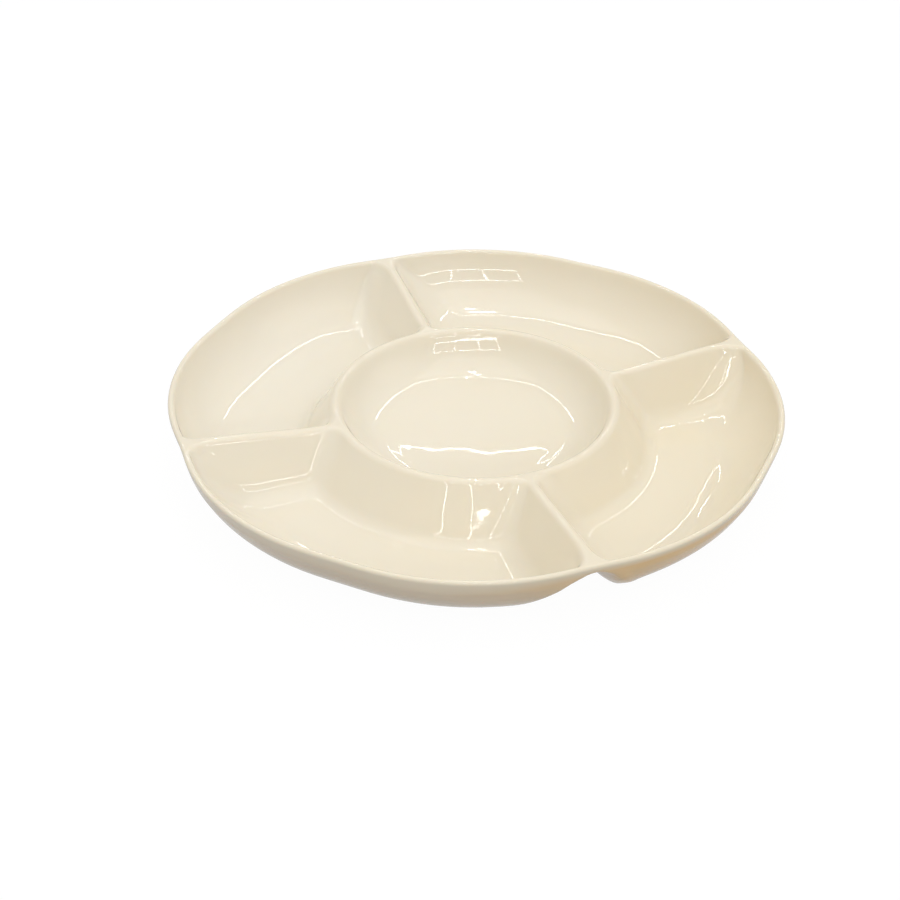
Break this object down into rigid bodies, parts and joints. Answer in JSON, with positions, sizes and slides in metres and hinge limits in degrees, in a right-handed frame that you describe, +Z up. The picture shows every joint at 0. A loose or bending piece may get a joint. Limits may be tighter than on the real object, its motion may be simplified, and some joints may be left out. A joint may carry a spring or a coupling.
{
  "type": "divided serving bowl",
  "caption": "Round ceramic serving dish with a round middle bowl inside a ring of curved wells, folded dividers hollow from below and a gently lobed rim.",
  "frame": {"origin": "middle of the dish in plan, on the table that it stands on", "axes": "+Z up, with the dividers between the outer wells along X and Y"},
  "size_m": [0.2978, 0.2978, 0.0345],
  "materials": {
    "glaze": "gloss"
  },
  "bodies": {
    "root": {"divided_dish": "glaze"}
  },
  "joints": []
}
